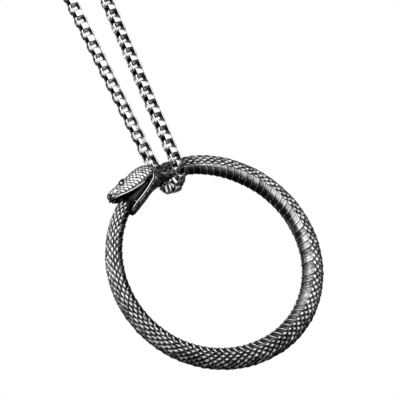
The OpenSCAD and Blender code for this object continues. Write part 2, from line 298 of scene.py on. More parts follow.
def jawPoint(past, turn, rise=0.0):
    # turn runs under the chin from 0 at the far lip to 180, and back along the mouth's floor to 360
    lip, floor, under, half = (smoothThrough(jawTable, c, past) for c in (1, 2, 3, 4))
    outer = turn <= 180
    height = np.where(outer, under, floor) - lip
    width = np.where(outer, half, floorWidth * half)
    out = lip + (height - np.where(outer, rise, 0)) * bulge(turn)
    side = (width + np.where(outer, rise, 0)) * reachAcross(turn)
    return onRing(snake["neckAngle"] + past, out, side)


def tubeFaces(rings, sides):
    faces = [(i * sides + k, i * sides + (k + 1) % sides,
              (i + 1) * sides + (k + 1) % sides, (i + 1) * sides + k)
             for i in range(rings - 1) for k in range(sides)]
    return faces + [tuple(range(sides))[::-1], tuple(range((rings - 1) * sides, rings * sides))]


def closedFaces(rings, sides):
    # A tube whose last ring joins its first
    return [(i * sides + k, (i + 1) % rings * sides + k,
             (i + 1) % rings * sides + (k + 1) % sides, i * sides + (k + 1) % sides)
            for i in range(rings) for k in range(sides)]


def pointOutwards(thing):
    mesh = thing.data
    shape = bmesh.new()
    shape.from_mesh(mesh)
    bmesh.ops.recalc_face_normals(shape, faces=shape.faces)
    if shape.calc_volume(signed=True) < 0:
        bmesh.ops.reverse_faces(shape, faces=shape.faces)
    shape.to_mesh(mesh)
    shape.free()
    return thing


# Geometry Nodes: tiles laid in columns and rows over a sheet, which they follow through its UV map

def tileTree():
    tree, given = newTree("tilesOverSheet", {
        "Geometry": "Geometry", "Sheet": "Object", "Columns": "Int", "Rows": "Int", "First": "Vector",
        "Step": "Vector", "Row Shift": "Float", "Scale to UV": "Vector", "Unevenness": "Float",
        "Fade From": "Float", "Fade To": "Float", "Seed": "Int", "Material": "Material"})
    # One point for each tile, in the tiles' own units along and across the sheet
    index = addNode(tree, "GeometryNodeInputIndex").outputs[0]
    grid = addNode(tree, "GeometryNodeMeshGrid",
                   {"Vertices X": given["Columns"], "Vertices Y": given["Rows"]}).outputs["Mesh"]
    row = addMath(tree, "MODULO", index, given["Rows"])
    column = addMath(tree, "FLOOR", addMath(tree, "DIVIDE", index, given["Rows"]))
    odd = addMath(tree, "MODULO", row, 2.0)
    across = addMath(tree, "MULTIPLY_ADD", odd, given["Row Shift"], column)
    count = addNode(tree, "ShaderNodeCombineXYZ", {"X": across, "Y": row}).outputs[0]
    place = addVectorMath(tree, "MULTIPLY_ADD", count, given["Step"], given["First"])
    points = addNode(tree, "GeometryNodeSetPosition", {"Geometry": grid, "Position": place})
    toned = addStored(tree, points.outputs[0], "tone", addRandom(tree, 0.0, given["Seed"]))
    height = addRandom(tree, addMath(tree, "SUBTRACT", 1.0, given["Unevenness"]), given["Seed"])
    scale = addNode(tree, "ShaderNodeCombineXYZ", {"X": 1.0, "Y": 1.0, "Z": height}).outputs[0]
    tiles = addNode(tree, "GeometryNodeInstanceOnPoints",
                    {"Points": toned, "Instance": given["Geometry"], "Scale": scale})
    real = addNode(tree, "GeometryNodeRealizeInstances", {"Geometry": tiles.outputs[0]}).outputs[0]
    # Each vertex is looked up on the sheet and lifted along the sheet's normal
    position = addNode(tree, "GeometryNodeInputPosition").outputs[0]
    uv = addVectorMath(tree, "MULTIPLY", position, given["Scale to UV"])
    parts = addNode(tree, "ShaderNodeSeparateXYZ", {0: position}).outputs
    sheet = addNode(tree, "GeometryNodeObjectInfo", {"Object": given["Sheet"]}).outputs["Geometry"]
    uvMap = addNamed(tree, "UVMap", "FLOAT_VECTOR")
    ground, normal = (
        addNode(tree, "GeometryNodeSampleUVSurface",
                {"Mesh": sheet, "Value": value, "UV Map": uvMap, "Sample UV": uv},
                data_type="FLOAT_VECTOR").outputs["Value"]
        for value in (position, addNamed(tree, "facing", "FLOAT_VECTOR")))
    raised = addNode(tree, "ShaderNodeVectorMath", {0: normal, 3: parts["Z"]}, operation="SCALE").outputs[0]
    final = addVectorMath(tree, "ADD", ground, raised)
    fade = addRange(tree, parts["X"], FromMin=given["Fade From"], FromMax=given["Fade To"], ToMin=0.3)
    wornAndLit = addStored(tree, real, "wear", addMath(tree, "MULTIPLY", addNamed(tree, "wear", "FLOAT"), fade))
    bent = addNode(tree, "GeometryNodeSetPosition", {"Geometry": wornAndLit, "Position": final}).outputs[0]
    return finishTree(tree, bent, given["Material"])


def runTree(thing, tree, name, values):
    # The tree's result as a piece of its own; the thing that it started from is removed
    modifier = thing.modifiers.new(name, "NODES")
    modifier.node_group = tree
    for item in tree.interface.items_tree:
        if item.item_type == "SOCKET" and item.in_out == "INPUT" and item.name in values:
            modifier[item.identifier] = values[item.name]
    bpy.context.view_layer.update()
    graph = bpy.context.evaluated_depsgraph_get()
    mesh = bpy.data.meshes.new_from_object(
        thing.evaluated_get(graph), preserve_all_data_layers=True, depsgraph=graph)
    mesh.name = name
    removeHelper(thing)
    return addObject(name, mesh)


# The sheets' UV maps: the share of the map for a plate, or a degree along the head, and for a degree
# across
uvScale = (1 / 100, 1 / 400)
sheetLift = 0.05  # a small rise that tells a sheet's outer side


def addSheet(name, point, acrossU, acrossV):
    # A helper surface with a UV map and its normals, for the tiles to follow. Its u and v each have
    # a first value, a last value and a number of steps
    u, v = np.meshgrid(*(np.linspace(first, last, steps + 1) for first, last, steps in (acrossU, acrossV)),
                       indexing="ij")
    at = point(u, v)
    normal = np.cross(np.gradient(at, axis=1), np.gradient(at, axis=0))
    normal /= np.maximum(np.linalg.norm(normal, axis=2, keepdims=True), 1e-12)
    lift = point(u, v, sheetLift) - at
    flip = np.sign((normal * lift).sum(axis=2, keepdims=True))
    normal = np.where(flip < 0, -normal, normal)
    n = u.shape[1]
    faces = [(i * n + k, i * n + k + 1, (i + 1) * n + k + 1, (i + 1) * n + k)
             for i in range(u.shape[0] - 1) for k in range(n - 1)]
    sheet = addMesh(name, at.reshape(-1, 3), faces)
    layer = sheet.data.attributes.new("facing", "FLOAT_VECTOR", "POINT")
    layer.data.foreach_set("vector", normal.reshape(-1).astype(np.float32))
    uvs = np.stack([u * uvScale[0], v * uvScale[1]], -1).reshape(-1, 2)
    corners = np.zeros(len(sheet.data.loops), np.int32)
    sheet.data.loops.foreach_get("vertex_index", corners)
    layer = sheet.data.uv_layers.new(name="UVMap")
    layer.data.foreach_set("uv", uvs[corners].reshape(-1).astype(np.float32))
    return sheet


def addTile(name, us, vs, shape, sink):
    # A closed tile: a top of columns and rows, a skirt down to the depth of sink, and a flat base
    u, v = np.meshgrid(us, vs, indexing="ij")
    x, y, z, wear = shape(u, v)
    top = np.stack([x, y, z * mm], -1).reshape(-1, 3)
    a, b = u.shape
    faces = [(i * b + k, (i + 1) * b + k, (i + 1) * b + k + 1, i * b + k + 1)
             for i in range(a - 1) for k in range(b - 1)]
    edge = ([i * b for i in range(a)] + [(a - 1) * b + k for k in range(1, b)]
            + [i * b + b - 1 for i in range(a - 2, -1, -1)] + list(range(b - 2, 0, -1)))
    skirt = top[edge].copy()
    skirt[:, 2] = -sink * mm
    start = a * b
    n = len(edge)
    faces += [(edge[(j + 1) % n], edge[j], start + j, start + (j + 1) % n) for j in range(n)]
    faces.append(tuple(range(start, start + n))[::-1])
    points = np.concatenate([top, skirt])
    wornAndLit = np.concatenate([wear.reshape(-1), np.zeros(n)])
    return pointOutwards(addMesh(name, points, faces, wear=wornAndLit))


def smoothStep(x):
    x = np.clip(x, 0, 1)
    return x * x * (3 - 2 * x)


# Tiles: lengths in plates on the body and in degrees past the neck on the head, widths in degrees
# round the body or the head, heights in mm. u runs along a tile and v across it, each from -1 to 1
dorsalScale = {
    "length": 1.12,  # so each scale's tip lies over the next scale in its row
    "halfWidth": 0.96,  # in rows
    "outline": (1.35, 0.9),  # the two powers that round its outline
    "crest": 0.25,  # where the scale is highest, as a share of half its length
    "dome": (2.2, 0.8),  # the two powers that round its back
    "tipHeight": 0.08,
    "domeHeight": 0.46,
    "rimHeight": 0.06,
    "along": [-1, -0.6, -0.25, 0.1, 0.4, 0.7, 0.92, 1],
    "across": [-1, -0.75, -0.3, 0, 0.3, 0.75, 1],
    "sink": 0.12,  # depth of a tile's base below the sheet
    "rows": snake["scaleRows"],
    "step": (1, rowStep),
    "rowShift": 0.5,  # of every other row, in columns
    "unevenness": 0.25,  # share by which the lowest tile is lower than the highest
    "fade": (2.5, 6.0),  # plates past the neck between which the scales go from darker to their full brightness
    "seed": 7,
}
# Polish and painted highlights on the scales of a stretch of the body: plates past the neck and number of
# columns, then the bright mark's half width and half length, and the polish of the whole scale and of its
# rim. The marks sit on the crests as polish would, but their sizes and strengths change from stretch to
# stretch as painted highlights, set after where the lamps fall
backStretches = [
    (0, 36, 0.45, 0.7, 0.24, 0.4),
    (36, 20, 0.34, 0.42, 0.14, 0.8),
    (56, 23, 0.34, 1.0, 0.2, 0.4),
]


def scaleShape(u, v, markWidth, markLength, whole, rim):
    c = dorsalScale
    half = c["halfWidth"] * rowStep * np.clip(1 - np.abs(u) ** c["outline"][0], 0.03, 1) ** c["outline"][1]
    way = (u - c["crest"]) / np.where(u < c["crest"], 1 + c["crest"], 1 - c["crest"])
    dome = (1 - np.abs(v) ** c["dome"][0]) * np.clip(1 - way**2, 0, 1) ** c["dome"][1]
    edge = np.abs(v) ** 6 * smoothStep((u + 0.3) / 0.6)
    tip = smoothStep((u + 1) / 1.6) * (1 - 0.8 * v**2)
    z = c["tipHeight"] * tip + c["domeHeight"] * dome + c["rimHeight"] * edge
    # The bright mark is crest polish and a painted highlight: its size per stretch follows where the lamps
    # catch the scales
    markAndHighlight = np.exp(-(v / markWidth) ** 2 - ((u - c["crest"]) / markLength) ** 2)
    wear = np.maximum(markAndHighlight, whole + rim * edge)
    return u * c["length"] / 2, v * half, z, wear


noFade = (-9.0, -8.0)  # lies before every tile
bellyPlate = {
    "start": -1.1,
    "end": 0.05,
    "sweep": (0.5, 3.2),  # how far the sides of the free edge lie back, and the power that bends it
    "low": 0.22,
    "rise": 0.2,
    "ridge": 0.07,
    "ridgeAt": 0.92,  # share of the length
    "ridgeWidth": 0.07,
    "roundOver": 0.14,  # drop of the free edge past the ridge
    "sideDrop": 0.14,
    "sides": (0.45, 0.25),  # where the polish of the sides begins, and over which share it grows
    "edge": (0.83, 0.08),  # the same of the free edge, which is bare
    "along": [-1, -0.76, -0.66, -0.54, -0.2, 0.2, 0.5, 0.66, 0.76, 0.84, 0.9, 0.95, 1],
    "across": np.sin(np.linspace(-1, 1, 27) * math.pi / 2),
    "sink": 0.12,
    "rows": 1,
    "step": (1, 1),
    "rowShift": 0.0,
    "unevenness": 0.2,
    "fade": noFade,
    "seed": 3,
}
# Polish of the belly plates along the body: plates past the neck and number of plates, then the
# polish in the middle of a plate and towards its sides. How these values change from stretch to stretch is
# painted highlight and painted shade, set after where the lamps fall on each stretch
bellyStretches = [(0, 27, 0.12, 0.46), (27, 18, 0.36, 0.36), (45, 34, 0.26, 0.26)]


def plateShape(u, v, middle, sides):
    c = bellyPlate
    t = (u + 1) / 2
    back = c["sweep"][0] * np.abs(v) ** c["sweep"][1]
    x = c["start"] + (c["end"] - c["start"]) * t - back
    ridge = np.exp(-((t - c["ridgeAt"]) / c["ridgeWidth"]) ** 2)
    z = c["low"] + c["rise"] * t**0.9 + c["ridge"] * ridge - c["sideDrop"] * np.abs(v) ** 9
    z = z - c["roundOver"] * smoothStep((t - c["ridgeAt"]) / (1 - c["ridgeAt"]))
    wear = middle + (sides - middle) * smoothStep((np.abs(v) - c["sides"][0]) / c["sides"][1])
    wear = wear + (1 - wear) * smoothStep((t - c["edge"][0]) / c["edge"][1])
    wear = wear * (1 - 0.4 * np.abs(v) ** 12) * smoothStep((t - 0.12) / 0.1)
    return x, v * snake["bellyHalf"], z, wear


headScale = {
    "length": 2.2,
    "halfWidth": 10.4,
    "outline": (1.4, 0.9),
    "height": 0.14,
    "markWidth": 0.85,
    "along": [-1, -0.75, -0.35, 0, 0.35, 0.75, 1],
    "across": [-1, -0.65, -0.3, 0, 0.3, 0.65, 1],
    "sink": 0.08,
    "columns": 13,
    "rows": 15,
    "first": (0.2, 11.6),
    "step": (2.15, 11.2),
    "rowShift": 0.5,
    "unevenness": 0.5,
    "fade": (0.5, 5.0),
    "seed": 11,
}


def headScaleShape(u, v):
    c = headScale
    half = c["halfWidth"] * np.clip(1 - np.abs(u) ** c["outline"][0], 0.04, 1) ** c["outline"][1]
    dome = (1 - 0.9 * np.abs(v) ** 2) * (1 - 0.9 * u**2)
    wear = np.exp(-(v / c["markWidth"]) ** 2 - (u / c["markWidth"]) ** 2)
    return -u * c["length"] / 2, v * half, c["height"] * dome, wear


jawPlate = {
    "length": 1.9,
    "halfWidth": 13,
    "height": 0.09,
    "polishAndPaintedLight": 0.4,
    "along": [-1, -0.8, -0.3, 0.3, 0.8, 1],
    "across": [-1, -0.8, -0.4, 0, 0.4, 0.8, 1],
    "sink": 0.06,
    "columns": 13,
    "rows": 6,
    "first": (3.2, 22),
    "step": (2, 27.2),
    "rowShift": 0.5,
    "unevenness": 0.3,
    "fade": noFade,
    "seed": 5,
}


def jawPlateShape(u, v):
    c = jawPlate
    dome = (1 - 0.6 * np.abs(v) ** 3) * (1 - 0.6 * np.abs(u) ** 3)
    return -u * c["length"] / 2, v * c["halfWidth"], c["height"] * dome, c["polishAndPaintedLight"] * np.clip(dome, 0, 1)


# Materials

def darkSteelMaterial():
    # Cast stainless steel, blackened and then polished on what stands proud: black grooves and a
    # metal sheen on the ridges, a little patchy, as a hand-polished casting looks
    material, tree = newMaterial("antiquedCastSteel")
    place = addNode(tree, "ShaderNodeTexCoord").outputs["Object"]
    wornAndLit = addNode(tree, "ShaderNodeAttribute", attribute_name="wear").outputs["Fac"]
    tone = addNode(tree, "ShaderNodeAttribute", attribute_name="tone").outputs["Fac"]
    blotches = addNoise(tree, place, 2200, 3.0, 0.6)
    grain = addNoise(tree, place, 4200, 2.0, 0.7)
    patchy = addMath(tree, "MULTIPLY_ADD", blotches, 0.9, wornAndLit)
    varied = addMath(tree, "MULTIPLY_ADD", tone, 0.3, patchy)
    # The wear value also carries painted highlights: the scale marks and the belly polish change along the
    # body with where the lamps fall
    bareAndLit = addRange(tree, varied, FromMin=0.76, FromMax=1.35)
    colour = addMix(tree, bareAndLit, linear("#35373a"), linear("#d9dbdc"))
    rough = addRange(tree, bareAndLit, ToMin=0.36, ToMax=0.2)
    bump = addNode(tree, "ShaderNodeBump", {"Height": grain, "Strength": 0.25, "Distance": 0.00003})
    shader = addNode(tree, "ShaderNodeBsdfPrincipled",
                     {"Base Color": colour, "Metallic": 1.0, "Roughness": rough, "Normal": bump.outputs[0]})
    addNode(tree, "ShaderNodeOutputMaterial", {"Surface": shader.outputs[0]})
    return material


def brightSteelMaterial():
    # Polished stainless steel: mirror bright where it is rubbed, and painted shade of dull grey on the
    # insides of the links
    material, tree = newMaterial("polishedSteel")
    place = addNode(tree, "ShaderNodeTexCoord").outputs["Object"]
    wornAndLit = addNode(tree, "ShaderNodeAttribute", attribute_name="wear").outputs["Fac"]
    marks = addNoise(tree, place, 1500, 4.0, 0.65)
    rubbedAndShaded = addRange(tree, addMath(tree, "MULTIPLY_ADD", marks, 0.5, wornAndLit), FromMin=0.3, FromMax=1.0)
    colour = addMix(tree, rubbedAndShaded, linear("#2e2f30"), linear("#eceded"))
    rough = addRange(tree, marks, ToMin=0.26, ToMax=0.12)
    shader = addNode(tree, "ShaderNodeBsdfPrincipled",
                     {"Base Color": colour, "Metallic": 1.0, "Roughness": rough})
    addNode(tree, "ShaderNodeOutputMaterial", {"Surface": shader.outputs[0]})
    return material


def blackRecessMaterial():
    # Painted shade of deep recesses over their unpolished black: a near-black disc that gives the eye a hole
    # with no shine in it
    material, tree = newMaterial("blackenedRecessAndShade")
    place = addNode(tree, "ShaderNodeTexCoord").outputs["Object"]
    grain = addNoise(tree, place, 3000, 3.0, 0.5)
    colour = addMix(tree, grain, linear("#050506"), linear("#151617"))
    shader = addNode(tree, "ShaderNodeBsdfPrincipled",
                     {"Base Color": colour, "Metallic": 0.2, "Roughness": 0.7})
    addNode(tree, "ShaderNodeOutputMaterial", {"Surface": shader.outputs[0]})
    return material


antiquedSteel = darkSteelMaterial()
polishedSteel = brightSteelMaterial()
blackRecess = blackRecessMaterial()


def ontoPendant(thing):
    if not thing.data.materials:
        thing.data.materials.append(antiquedSteel)
    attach(thing, "pendant")
    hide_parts("snake_ring")
    return thing


# Body: a dark core with keeled scales over the back and overlapping plates under the belly

# The core's mesh in plates past the neck: even rings up to the mouth, then the table's own to the
# tail's tip, which lies bare in the mouth
bodyCore = {
    "first": -2,
    "evenTo": 77.5,
    "rings": 320,
    "sides": 48,
    "tailFrom": 79,
    "tailEdge": 79.2,
    "tailWear": 0.3,
}


def addBodyCore():
    c = bodyCore
    tail = [row[0] for row in bodyTable if row[0] > c["evenTo"]]
    plates = np.concatenate([np.linspace(c["first"], c["evenTo"], c["rings"]), tail])
    p, turn = np.meshgrid(plates, np.arange(c["sides"]) * 360 / c["sides"], indexing="ij")
    points = bodyPoint(p, turn, np.where(p < c["tailFrom"], -snake["grooveDepth"], 0.0))
    wear = np.where(p > c["tailEdge"], c["tailWear"], 0.0)
    return pointOutwards(addMesh("body_core", points.reshape(-1, 3), tubeFaces(len(plates), c["sides"]),
                                 wear=wear.reshape(-1), tone=np.zeros(wear.size)))


bodySheet = addSheet("body_sheet", lambda u, v, rise=0.0: bodyPoint(u, v, rise - snake["grooveDepth"]),
                     (-3, 80.5, 668), (-110, 400, 170))
headSheet = addSheet("head_sheet", headPoint, (-2.5, 28.65, 124), (0, 180, 120))
jawSheet = addSheet("jaw_sheet", jawPoint, (0, 29.5, 120), (0, 180, 90))
tiles = tileTree()


def layTiles(name, sheet, shape, kind, **own):
    # own holds what a stretch has instead of its kind's values, or beside them
    kind = {**kind, **own}
    tile = addTile("tile", kind["along"], kind["across"], shape, kind["sink"])
    return runTree(tile, tiles, name, {
        "Sheet": sheet, "Columns": kind["columns"], "Rows": kind["rows"],
        "First": (*map(float, kind["first"]), 0.0), "Step": (*map(float, kind["step"]), 0.0),
        "Row Shift": kind["rowShift"], "Scale to UV": (*uvScale, 1.0), "Unevenness": kind["unevenness"],
        "Fade From": kind["fade"][0], "Fade To": kind["fade"][1], "Seed": kind["seed"],
        "Material": antiquedSteel})


ontoPendant(addBodyCore())
for number, (first, columns, *polishAndPaintedLight) in enumerate(backStretches):
    ontoPendant(layTiles("back_scales_" + str(number + 1), bodySheet,
                         lambda u, v: scaleShape(u, v, *polishAndPaintedLight), dorsalScale, columns=columns,
                         first=(first, snake["firstRow"]), seed=dorsalScale["seed"] + number))
for number, (first, columns, *polishAndPaintedLight) in enumerate(bellyStretches):
    ontoPendant(layTiles("belly_plates_" + str(number + 1), bodySheet,
                         lambda u, v: plateShape(u, v, *polishAndPaintedLight), bellyPlate, columns=columns,
                         first=(first, 0), seed=bellyPlate["seed"] + number))
print("body ready")


# Head: the upper head, the lower jaw, small scales over both, lips, eyes, nostrils and fangs.
# Spots are degrees past the neck, offset from the ring's circle, side; sizes are in mm
features = {
    "eye": (20.3, 3.98, 2.02),
    "eyeFrom": 1.6,  # the offset in the head's middle that the eye looks away from
    "lid": (0.24, 0.62, 0.15),  # how far it stands out, radius, wire
    "eyeRecess": (0.26, 0.6),  # how far it stands out, radius
    "eyeOut": 0.1,  # how far the eyeball stands off the eye's spot away from the ring
    "eyeSide": 0.12,  # and sideways
    "eyeSize": (0.95, 0.95, 0.95),
    # Bumps and single plates: spot, lengths along the head, away from the ring and across, polish
    "plates": {
        "brow": ((18.9, 4.5, 1.35), (1.9, 0.9, 1.5), 0.25),
        "nasal_plate": ((25.6, 4.1, 2.4), (1.9, 1.2, 1.0), 1.0),
        "snout_plate": ((27.9, 3.9, 1.5), (0.9, 0.8, 1.1), 1.0),
    },
    "nostril": (25.8, 3.72, 2.78),
    "nostrilFrom": (-0.8, 2.8),  # degrees along and offset that the nostril looks away from
    "nostrilRim": (0.04, 0.36, 0.1),
    "nostrilRecess": (0.06, 0.36),
    "fang": (23.5, -1.75, 2.08),
    "fangLength": 0.75,
    "fangRadii": (0.2, 0.04),
    "upperLip": (11, 28.4, 0.5),  # first and last degrees past the neck, width
    "lowerLip": (3.0, 29.6, 0.36),
}


def headCircle(past, out, side):
    return Vector(onRing(np.array(snake["neckAngle"] + past), np.array(out), np.array(side)).tolist())


# Meshes of the upper head and the lower jaw: degrees past the neck of the even rings and of the last
# ones, turns round the outside and round the inside, and the polish of the outside
upperHead = {
    "even": (-3, 28.1, 124),
    "last": [28.3, 28.5, 28.62, 28.7],
    "outside": 97,
    "inside": (188, 352, 22),
    "wear": 0.3,
    "snoutWear": 0.5,  # on top of that
    "snout": (25.0, 1.5),  # where the snout begins, and over how many degrees its polish grows
}
lowerJaw = {
    "even": (-2, 29.2, 100),
    "last": [29.5, 29.75, 29.9, 30.0],
    "outside": 61,
    "inside": (190, 350, 21),
    "wear": 0.2,
}


def addHeadPart(name, point, part, wearAt):
    stations = np.concatenate([np.linspace(*part["even"]), part["last"]])
    turns = np.concatenate([np.linspace(0, 180, part["outside"]), np.linspace(*part["inside"])])
    past, turn = np.meshgrid(stations, turns, indexing="ij")
    wear = np.where(turn <= 180, wearAt(past), 0.0)
    return pointOutwards(addMesh(name, point(past, turn).reshape(-1, 3), tubeFaces(len(stations), len(turns)),
                                 wear=wear.reshape(-1), tone=np.zeros(wear.size)))


def headWear(past):
    start, over = upperHead["snout"]
    return upperHead["wear"] + upperHead["snoutWear"] * smoothStep((past - start) / over)


def addMouthWall(rings=60):
    past = np.linspace(wallTable[0][0], wallTable[-1][0], rings)
    high = np.interp(past, *zip(*wallTable))
    low = (smoothThrough(jawTable, 2, past) + smoothThrough(jawTable, 3, past)) / 2
    corners = [onRing(snake["neckAngle"] + past, out, side * wallHalf)
               for out, side in ((low, 1), (low, -1), (high, -1), (high, 1))]
    points = np.stack(corners, axis=1).reshape(-1, 3)
    return pointOutwards(addMesh("mouth_wall", points, tubeFaces(len(past), 4), wear=np.zeros(len(points))))


def tubeTree():
    # A round bead along a line, tapered to its ends
    tree, given = newTree("beadAlongLine", {"Geometry": "Geometry", "Width": "Float", "Material": "Material"})
    line = addNode(tree, "GeometryNodeMeshToCurve", {"Mesh": given["Geometry"]}).outputs[0]
    way = addNode(tree, "GeometryNodeSplineParameter").outputs["Factor"]
    sine = addMath(tree, "SINE", addMath(tree, "MULTIPLY", way, math.pi))
    thick = addMath(tree, "MAXIMUM", addMath(tree, "POWER", sine, 0.35), 0.02)
    half = addMath(tree, "MULTIPLY", given["Width"], 0.5)
    ring = addNode(tree, "GeometryNodeCurvePrimitiveCircle",
                   {"Resolution": 10, "Radius": half}).outputs["Curve"]
    tube = addNode(tree, "GeometryNodeCurveToMesh",
                   {"Curve": line, "Profile Curve": ring, "Scale": thick, "Fill Caps": True}).outputs[0]
    wornAndLit = addStored(tree, tube, "wear", 1.0)
    real = addNode(tree, "GeometryNodeRealizeInstances", {"Geometry": wornAndLit}).outputs[0]
    return finishTree(tree, real, given["Material"])


beads = tubeTree()


def addLip(name, point, turn, lip, steps=70):
    first, last, width = features[lip]
    past = np.linspace(first, last, steps)
    line = point(past, np.full(steps, float(turn)), 0.0)
    mesh = bpy.data.meshes.new(name)
    mesh.from_pydata(line.tolist(), [(i, i + 1) for i in range(steps - 1)], [])
    return runTree(addObject(name, mesh), beads, name, {"Width": width * mm, "Material": antiquedSteel})


def addBall(name, spot, lengths, wear, rings=16):
    # A ball stretched along the head, away from the ring's middle and across
    past, out, side = spot
    centre = headCircle(past, out, side)
    away = (headCircle(past, out + 1, side) - centre).normalized()
    across = Vector((0, 1, 0))
    axes = np.array([across.cross(away), away, across])
    turn, around = np.meshgrid(np.linspace(0.001, math.pi - 0.001, rings),
                               np.arange(2 * rings) * math.pi / rings, indexing="ij")
    unit = np.stack([np.sin(turn) * np.cos(around), np.sin(turn) * np.sin(around), np.cos(turn)], -1)
    points = (unit.reshape(-1, 3) * np.array(lengths) / 2 * mm) @ axes + np.array(centre)
    return pointOutwards(addMesh(name, points, tubeFaces(rings, 2 * rings), wear=np.full(len(points), wear)))


def addSocket(name, centre, z, radius, wire, wear, rings=32, sides=10):
    # A raised ring round an eye or a nostril, which looks along z
    x = z.orthogonal().normalized()
    y = z.cross(x)
    a, b = np.meshgrid(np.arange(rings) * 2 * math.pi / rings, np.arange(sides) * 2 * math.pi / sides,
                       indexing="ij")
    reach = (radius + wire * np.cos(b)) * mm
    parts = (reach * np.cos(a), x), (reach * np.sin(a), y), (wire * mm * np.sin(b), z)
    points = np.array(centre) + sum(size[..., None] * np.array(axis) for size, axis in parts)
    return pointOutwards(addMesh(name, points.reshape(-1, 3), closedFaces(rings, sides),
                                 wear=np.full(rings * sides, wear)))


def addCone(name, centre, way, radii, length, segments):
    turn = way.to_track_quat("Z", "Y").to_matrix().to_4x4()
    shape = bmesh.new()
    bmesh.ops.create_cone(shape, cap_ends=True, segments=segments, radius1=radii[0] * mm,
                          radius2=radii[1] * mm, depth=length * mm)
    shape.transform(Matrix.Translation(centre) @ turn)
    mesh = bpy.data.meshes.new(name)
    shape.to_mesh(mesh)
    shape.free()
    return addObject(name, mesh)


# A near-black disc whose colour is painted shade inside the holes of the eyes and the nostrils
def addDisc(name, centre, way, radius, thickness=0.1):
    disc = addCone(name, centre, way, (radius, radius), thickness, 20)
    disc.data.materials.append(blackRecess)
    return disc


def addEye(side, sign):
    past, out, across = features["eye"]
    eye = headCircle(past, out, sign * across)
    away = (eye - headCircle(past, features["eyeFrom"], 0)).normalized()
    stand, radius, wire = features["lid"]
    ontoPendant(addSocket("eye_lid_" + side, eye + away * stand * mm, away, radius, wire, 0.2))
    stand, radius = features["eyeRecess"]
    ontoPendant(addDisc("eye_recess_" + side, eye + away * stand * mm, away, radius))
    spot = (past, out + features["eyeOut"], sign * (across + features["eyeSide"]))
    ontoPendant(addBall("eye_" + side, spot, features["eyeSize"], 1.0))


def addPlates(side, sign):
    for name, ((past, out, across), lengths, wear) in features["plates"].items():
        ontoPendant(addBall(name + "_" + side, (past, out, sign * across), lengths, wear))


def addNostril(side, sign):
    past, out, across = features["nostril"]
    nostril = headCircle(past, out, sign * across)
    along, offset = features["nostrilFrom"]
    away = (nostril - headCircle(past + along, offset, 0)).normalized()
    stand, radius, wire = features["nostrilRim"]
    ontoPendant(addSocket("nostril_rim_" + side, nostril + away * stand * mm, away, radius, wire, 0.9))
    stand, radius = features["nostrilRecess"]
    ontoPendant(addDisc("nostril_recess_" + side, nostril + away * stand * mm, away, radius))


def addFang(side, sign):
    past, out, across = features["fang"]
    foot = headCircle(past, out, sign * across)
    up = (headCircle(past, out + 1, sign * across) - foot).normalized()
    length = features["fangLength"]
    fang = addCone("fang_" + side, foot + up * length / 2 * mm, up, features["fangRadii"], length, 16)
    wearAll(fang.data)
    ontoPendant(fang)


ontoPendant(addHeadPart("upper_head", headPoint, upperHead, headWear))
ontoPendant(addHeadPart("lower_jaw", jawPoint, lowerJaw, lambda past: lowerJaw["wear"]))
ontoPendant(addMouthWall())
ontoPendant(layTiles("head_scales", headSheet, headScaleShape, headScale))
ontoPendant(layTiles("jaw_plates", jawSheet, jawPlateShape, jawPlate))
for side, turn in (("near", 0), ("far", 180)):
    ontoPendant(addLip("upper_lip_" + side, headPoint, turn, "upperLip"))
    ontoPendant(addLip("lower_lip_" + side, jawPoint, 180 - turn, "lowerLip"))
for side, sign in (("near", -1), ("far", 1)):
    addEye(side, sign)
    addPlates(side, sign)
    addNostril(side, sign)
    addFang(side, sign)
for helper in (bodySheet, headSheet, jawSheet):
    removeHelper(helper)
print("head ready")


# Chain: every link of the box chain in its place, as in the solid model

# Sizes in mm, turns in degrees
chain = {
    "linkWidth": 3.0,
    "linkLength": 2.5,
    "stripThickness": 0.26,
    "stripWidth": 1.7,
    "shownWidth": 1.85,  # the strip's width with its rounded edges
    "gap": 0.11,  # play between two links that hang in each other
    "neckLinks": 9,
    "pegLinks": 17,
    "backLinks": 112,
    "frontLinks": 103,
    "neckTurn": 14,  # of the neck bend about the vertical
    "linkTurn": 3.5,  # that a link may have against the next one
    "frontTurn": 7,  # that the front strand keeps above the bend
    "turnedLinks": 24,  # how many of its links keep it
    "strandLean": 3,  # of the strands where a bend ends
    "neckBendX": -1.15,
}
# From a link's middle to the middle of the strip at its end
hook = (chain["linkLength"] - chain["stripThickness"]) / 2
linkPitch = 2 * hook - chain["stripThickness"] - chain["gap"]


# Two links that meet at an angle: how far the strips lie apart, how far the links' middles, and the
# angle between the line that joins the middles and the link that lies in the bend's plane

def stripDrop(bend):
    return (chain["stripThickness"] / 2 * (1 + math.cos(bend)) + chain["stripWidth"] / 2 * math.sin(bend)
            + chain["gap"])


def bendPitch(bend):
    u = hook - stripDrop(bend)
    return math.sqrt(u * u + hook * hook + 2 * u * hook * math.cos(bend))


def lie(bend):
    return math.atan2(hook * math.sin(bend), hook - stripDrop(bend) + hook * math.cos(bend))


def bendShift(bend):
    # How much further out than the middle a link in the bend's plane sits
    return bendPitch(bend) * math.sin(lie(bend) - bend / 2) / 2


def bendRadius(count):
    return bendPitch(math.pi / count) / (2 * math.sin(math.pi / 2 / count))


def foot(count):
    # How far out a strand stands where it leaves a bend, and how far along its first link is
    half = math.pi / 2 / count
    r = bendRadius(count) + bendShift(math.pi / count)
    a = half - lie(half)
    step = bendPitch(half + math.radians(chain["strandLean"]))
    return r * math.cos(half) + step * math.sin(a), step * math.cos(a) - r * math.sin(half)


def turned(degrees, axis):
    return Matrix.Rotation(math.radians(degrees), 4, axis)


def onLine(footPoint, top, along, turn):
    d = (top - footPoint).normalized()
    lean = turned(math.degrees(math.atan2(d.x, d.z)), "Y") @ turned(math.degrees(math.asin(-d.y)), "X")
    return Matrix.Translation(footPoint + d * along) @ lean @ turned(turn, "Z")


def crossed(n):
    return turned(n % 2 * 90, "Z")


